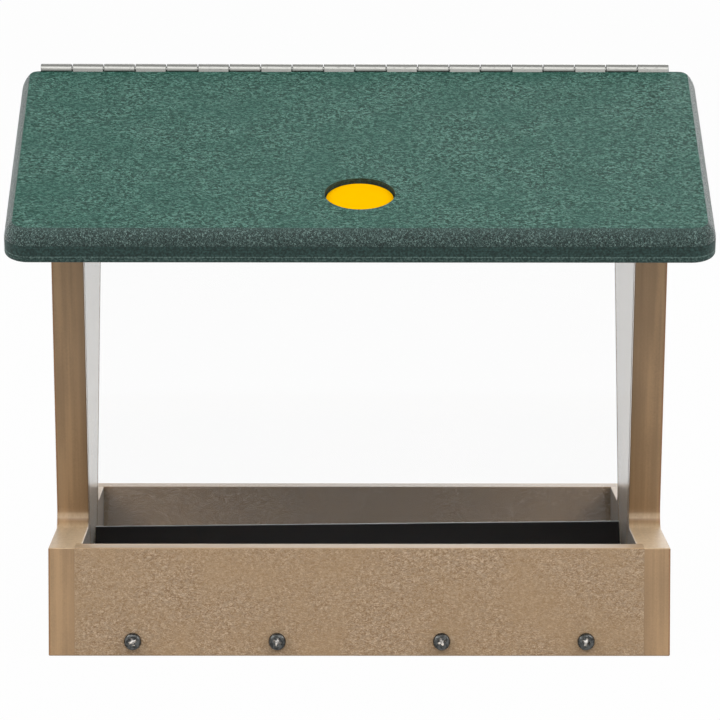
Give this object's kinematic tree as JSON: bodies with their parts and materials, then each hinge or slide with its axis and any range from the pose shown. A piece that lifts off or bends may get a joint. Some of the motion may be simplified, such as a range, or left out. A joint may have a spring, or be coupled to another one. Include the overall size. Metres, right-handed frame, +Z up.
{
  "type": "hopper bird feeder",
  "caption": "Plastic-lumber hopper bird feeder: open tray, splayed end panels, clear windows over a seed diverter, and a pitched roof whose front board lifts on a ridge hinge.",
  "frame": {"origin": "under the middle of the tray, on the surface that the feeder stands on", "axes": "+X along the ridge to the right seen from the front, -Y to the front where the lid lies, +Z up"},
  "size_m": [0.272, 0.2692, 0.2257],
  "materials": {
    "tan_board": "taupe plastic lumber, matte, with fine flecks along the board",
    "green_board": "green plastic lumber, lightly textured face, smoother routed nose",
    "clear_sheet": "clear polycarbonate sheet",
    "black_sheet": "thin black coated sheet, folded",
    "yellow_disc": "plain bright yellow disc",
    "hinge_metal": "mill-finish aluminium continuous hinge",
    "screw_metal": "grey coated steel"
  },
  "bodies": {
    "feeder": {"hinge_back_screw_1": "screw_metal", "hinge_back_screw_2": "screw_metal", "hinge_back_screw_3": "screw_metal", "hinge_back_screw_4": "screw_metal", "hinge_leaf_back": "hinge_metal", "hinge_pin": "hinge_metal", "left_back_lower_screw": "screw_metal", "left_back_upper_screw": "screw_metal", "left_floor_back_screw": "screw_metal", "left_floor_front_screw": "screw_metal", "left_front_lower_screw": "screw_metal", "left_front_upper_screw": "screw_metal", "right_back_lower_screw": "screw_metal", "right_back_upper_screw": "screw_metal", "right_floor_back_screw": "screw_metal", "right_floor_front_screw": "screw_metal", "right_front_lower_screw": "screw_metal", "right_front_upper_screw": "screw_metal", "roof_left_lower_screw": "screw_metal", "roof_left_upper_screw": "screw_metal", "roof_panel_back": "green_board", "roof_right_lower_screw": "screw_metal", "roof_right_upper_screw": "screw_metal", "seed_diverter": "black_sheet", "side_panel_left": "tan_board", "side_panel_right": "tan_board", "tray_back_screw_1": "screw_metal", "tray_back_screw_2": "screw_metal", "tray_back_screw_3": "screw_metal", "tray_back_screw_4": "screw_metal", "tray_back_wall": "tan_board", "tray_floor": "tan_board", "tray_front_screw_1": "screw_metal", "tray_front_screw_2": "screw_metal", "tray_front_screw_3": "screw_metal", "tray_front_screw_4": "screw_metal", "tray_front_wall": "tan_board", "window_back": "clear_sheet", "window_front": "clear_sheet"},
    "roof_lid": {"badge_disc": "yellow_disc", "hinge_front_screw_1": "screw_metal", "hinge_front_screw_2": "screw_metal", "hinge_front_screw_3": "screw_metal", "hinge_front_screw_4": "screw_metal", "hinge_leaf_front": "hinge_metal", "roof_panel_front": "green_board"}
  },
  "joints": [
    {"name": "lid_hinge", "type": "hinge", "parent": "feeder", "child": "roof_lid", "pos_m": [0, 0, 0.2235], "axis": [-1, 0, 0], "range_deg": [0, 205]}
  ]
}
